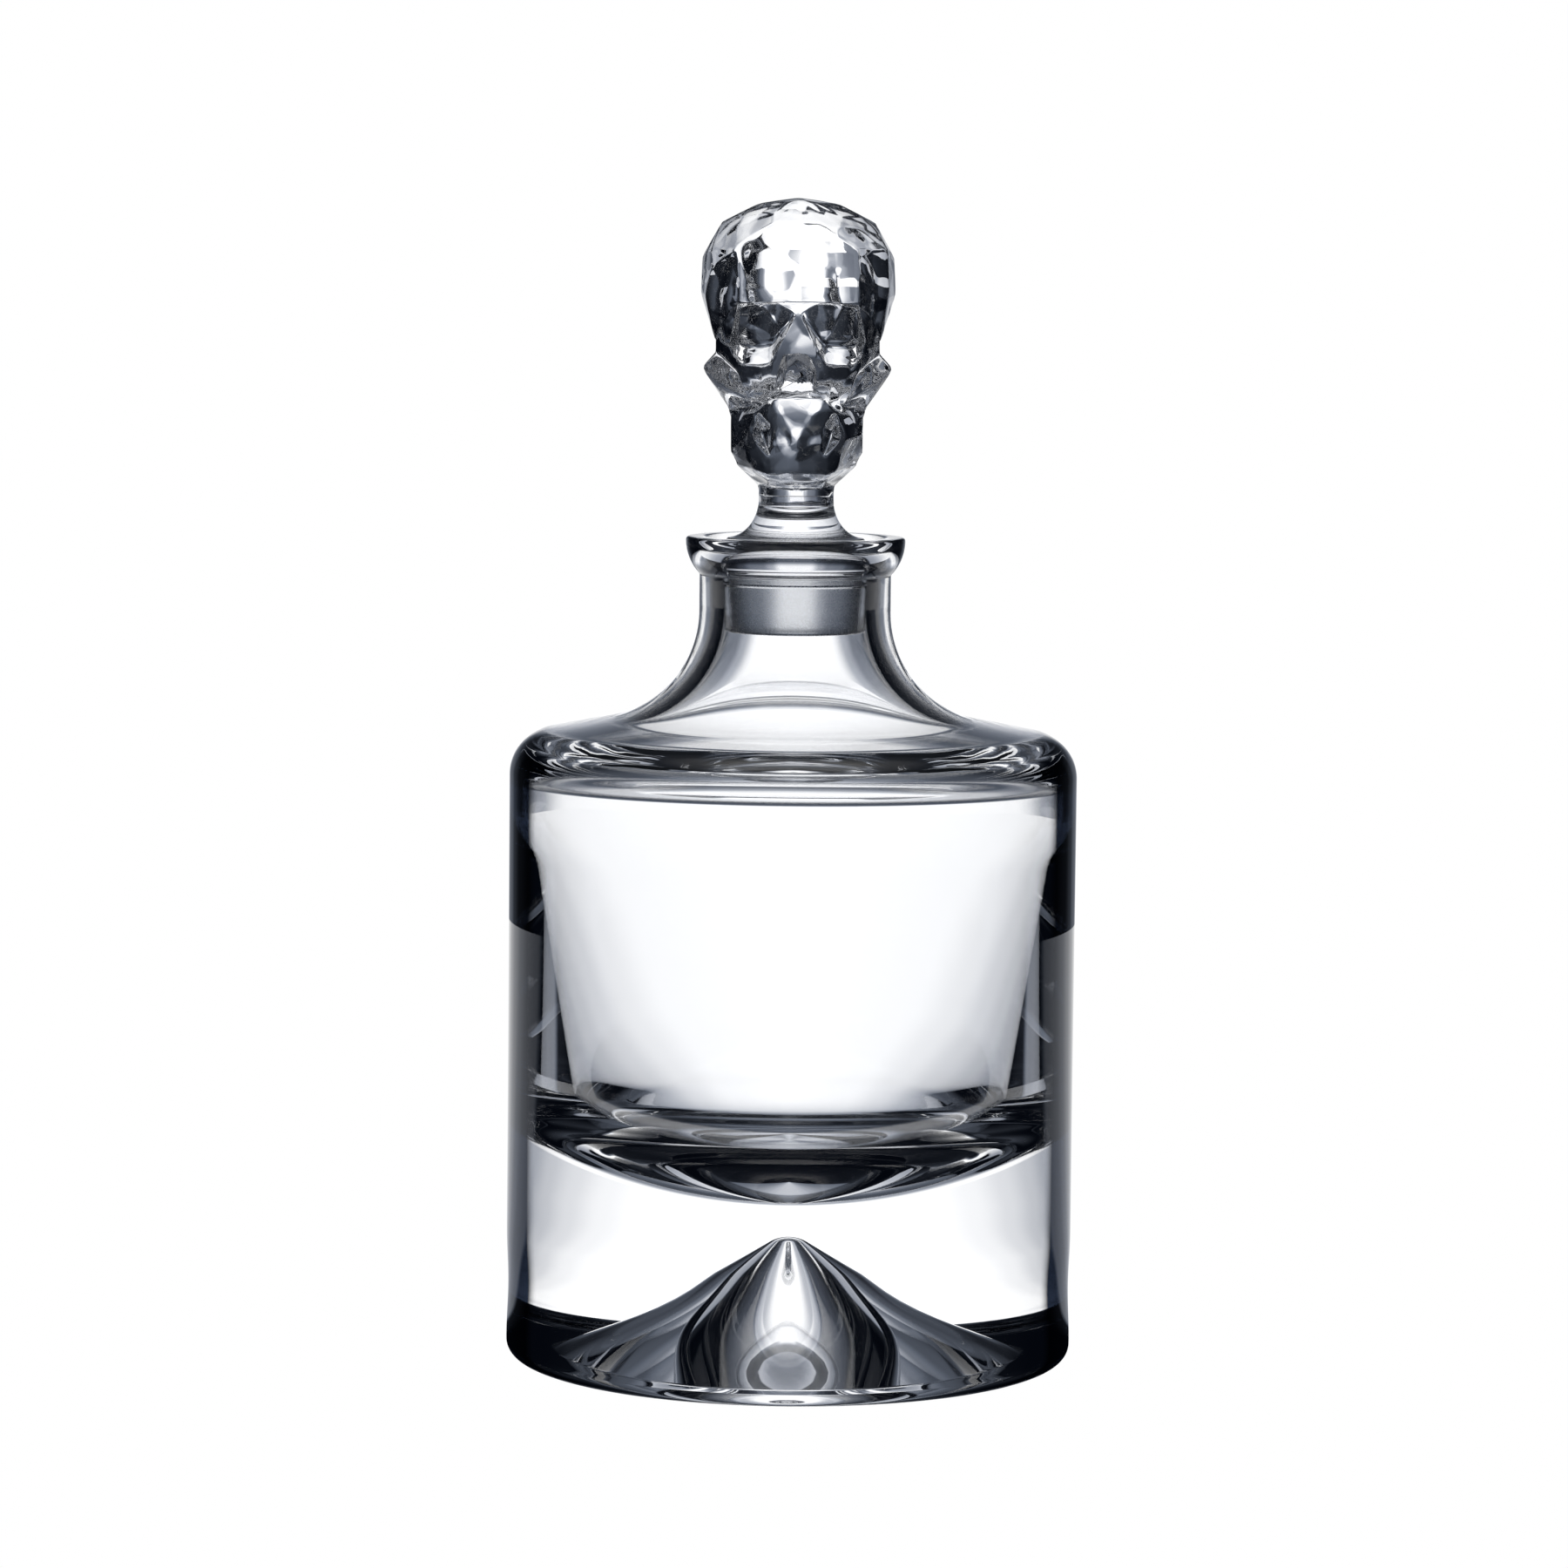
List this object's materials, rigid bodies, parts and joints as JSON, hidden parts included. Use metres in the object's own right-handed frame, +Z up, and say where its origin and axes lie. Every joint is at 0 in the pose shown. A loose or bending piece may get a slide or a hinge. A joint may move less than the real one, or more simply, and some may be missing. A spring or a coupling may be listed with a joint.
{
  "type": "crystal decanter",
  "caption": "Heavy cylindrical crystal decanter with a thick base over a hollow cone, a flared neck and a faceted skull stopper that lifts out and turns.",
  "frame": {"origin": "centre of the base, on the plane it stands on", "axes": "+Z up along the decanter's axis; the skull faces -Y and +X is to the right of someone facing it"},
  "size_m": [0.13, 0.13, 0.266],
  "materials": {
    "clear_crystal": "fire polished, clear and colourless",
    "faceted_crystal": "polished facets with softened edges",
    "satin_crystal": "polished foot, satin core",
    "clear_sleeve": "clear soft plastic",
    "clear_adhesive": "clear cured adhesive"
  },
  "bodies": {
    "bottle": {"bottle": "clear_crystal"},
    "sleeve": {"plug_sleeve": "clear_sleeve"},
    "stopper": {"stopper_foot": "satin_crystal", "glue_disc": "clear_adhesive", "skull_head": "faceted_crystal"}
  },
  "joints": [
    {"name": "stopper_lift", "type": "slide", "parent": "bottle", "child": "sleeve", "axis": [0, 0, 1], "range_m": [0, 0.06]},
    {"name": "stopper_turn", "type": "hinge", "parent": "sleeve", "child": "stopper", "pos_m": [0, 0, 0.176], "axis": [0, 0, 1], "continuous": true}
  ]
}
